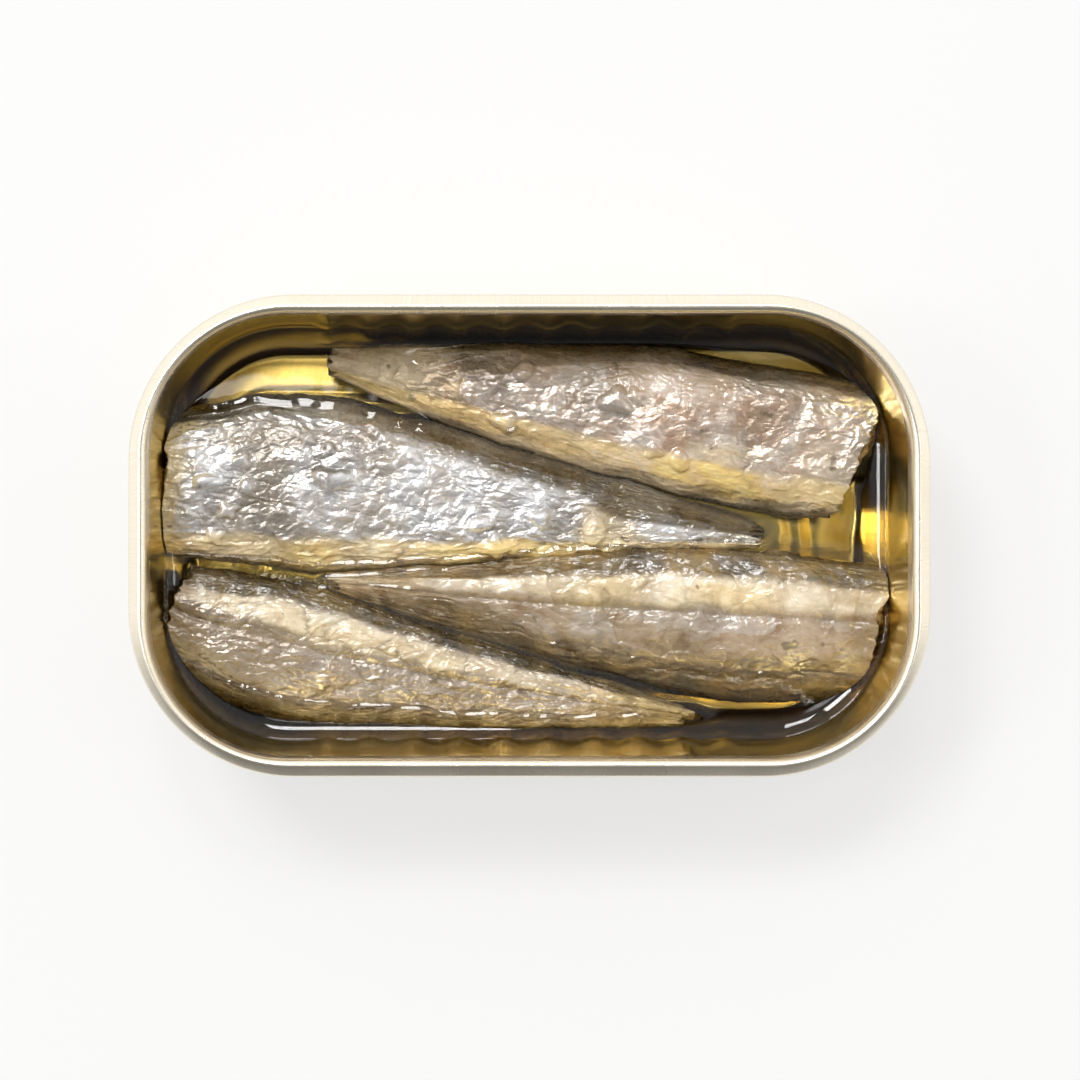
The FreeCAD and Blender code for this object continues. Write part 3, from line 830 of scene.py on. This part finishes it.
def oil_material():
    """Clear golden oil, which takes its colour from its depth and lets light through to the fish."""
    n = Nodes("golden_oil")
    glass = n.add("ShaderNodeBsdfPrincipled", {
        "Base Color": (1.0, 0.985, 0.94, 1), "Roughness": 0.0, "IOR": 1.47, "Transmission Weight": 1.0})
    clear = n.add("ShaderNodeBsdfTransparent", {"Color": (0.56, 0.49, 0.32, 1)})
    path = n.add("ShaderNodeLightPath")
    shader = n.add("ShaderNodeMixShader", {0: path.outputs["Is Shadow Ray"], 1: glass.outputs[0],
                                           2: clear.outputs[0]})
    volume = n.add("ShaderNodeVolumeAbsorption", {"Color": (0.985, 0.90, 0.50, 1), "Density": 36.0})
    return n.finish(shader.outputs[0], volume.outputs[0])


def assign(piece, material):
    piece.data.materials.clear()
    piece.data.materials.append(material)
    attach(piece, "root")


# --- the stage ----------------------------------------------------------------------------------

CAMERA_HEIGHT = 340.0     # above the rim
VIEW_WIDTH = 140.9        # what the camera sees across at the rim
VIEW_CENTRE = (1.34, -0.52)
CAMERA_PLACE = (-11.0, 9.0)    # the camera looks straight down from here, and shifts to the centre
SENSOR = 36.0
WINDOW_WAY = (-0.09, 0.22, 0.97)    # towards the small bright window in the world
WINDOW_LEVEL = 5.0
# Where each soft lamp hangs, in metres, its size and its watts.
SOFTBOXES = {"key": ((-0.60, 0.80, 1.50), 0.42, 14.0), "top": ((-0.10, 0.95, 1.50), 0.3, 5.5),
             "left": ((-1.10, 0.05, 1.40), 0.3, 4.0), "fill": ((1.20, -0.10, 1.30), 0.22, 0.8)}


def make_floor():
    """A pale table top, which shows near white to the camera and in mirrors and keeps its shadow."""
    deselect()
    bpy.ops.mesh.primitive_plane_add(size=3.0)
    floor = bpy.context.object
    floor.name = "floor"
    n = Nodes("pale_table")
    path = n.add("ShaderNodeLightPath")
    diffuse = n.add("ShaderNodeBsdfDiffuse", {"Color": (0.25, 0.25, 0.25, 1)})
    glow = n.add("ShaderNodeEmission", {"Color": (1, 1, 1, 1), "Strength": 0.645})
    lit = n.add("ShaderNodeAddShader", {0: diffuse.outputs[0], 1: glow.outputs[0]})
    seen = n.math("MAXIMUM", path.outputs["Is Glossy Ray"], path.outputs["Is Transmission Ray"])
    seen = n.math("MAXIMUM", path.outputs["Is Camera Ray"], seen)
    plain = n.add("ShaderNodeBsdfDiffuse", {"Color": (0.8, 0.8, 0.8, 1)})
    shader = n.add("ShaderNodeMixShader", {0: seen, 1: plain.outputs[0], 2: lit.outputs[0]})
    floor.data.materials.append(n.finish(shader.outputs[0]))


def add_softbox(name, place, size, power):
    """A square soft lamp that faces the tin."""
    deselect()
    bpy.ops.object.light_add(type="AREA", location=place)
    lamp = bpy.context.object
    lamp.name = name
    lamp.data.size = size
    lamp.data.energy = power
    aim = Vector((0, 0, 0.01)) - Vector(place)
    lamp.rotation_euler = aim.to_track_quat("-Z", "Y").to_euler()


def make_world():
    """A plain studio: brightest low down, dim in front and right overhead, with one small bright
    window a little behind the zenith."""
    world = bpy.data.worlds.new("studio")
    bpy.context.scene.world = world
    world.use_nodes = True
    n = Nodes("world", world.node_tree)
    world.node_tree.nodes.clear()
    way = n.add("ShaderNodeTexCoord").outputs["Generated"]
    parts = n.add("ShaderNodeSeparateXYZ", {0: way})
    up = n.spread(parts.outputs[2], 0.25, 0.9, 1.15, 0.8)
    front = n.spread(parts.outputs[1], -0.55, -0.1, 0.2, 1.0)
    overhead = n.spread(parts.outputs[2], 0.94, 0.985, 1.0, 0.08)
    level = n.math("MULTIPLY", n.math("MULTIPLY", up, front), overhead)
    gap = n.vector("DISTANCE", way, WINDOW_WAY).outputs["Value"]
    level = n.math("ADD", level, n.spread(gap, 0.07, 0.1, WINDOW_LEVEL, 0.0))
    background = n.add("ShaderNodeBackground", {"Color": (1.0, 0.99, 0.97, 1), "Strength": level})
    n.add("ShaderNodeOutputWorld", {"Surface": background.outputs[0]})


def make_camera():
    """A camera over the tin that looks straight down, a little to one side of its middle."""
    deselect()
    place = (CAMERA_PLACE[0] * MM, CAMERA_PLACE[1] * MM, (TIN_HEIGHT + CAMERA_HEIGHT) * MM)
    bpy.ops.object.camera_add(location=place)
    camera = bpy.context.object
    camera.name = "camera"
    camera.rotation_euler = (0, 0, 0)
    camera.data.shift_x = (VIEW_CENTRE[0] - CAMERA_PLACE[0]) / VIEW_WIDTH
    camera.data.shift_y = (VIEW_CENTRE[1] - CAMERA_PLACE[1]) / VIEW_WIDTH
    camera.data.sensor_width = SENSOR
    camera.data.lens = SENSOR * CAMERA_HEIGHT / VIEW_WIDTH
    camera.data.clip_start = 0.01
    bpy.context.scene.camera = camera


def main():
    bpy.context.scene.view_settings.view_transform = "Standard"
    gold = lacquer_material()
    assign(make_can(), gold)
    assign(make_seam(), seam_material())
    foil = foil_height()
    fish_pieces = []
    for name, fish in FISH.items():
        piece = make_fish(name, fish)
        assign(piece, skin_material(name + "_skin", foil, *SKIN[name]))
        fish_pieces.append(piece)
    assign(make_oil(fish_pieces), oil_material())
    make_floor()
    for name, (place, size, power) in SOFTBOXES.items():
        add_softbox(name, place, size, power)
    make_world()
    make_camera()


main()
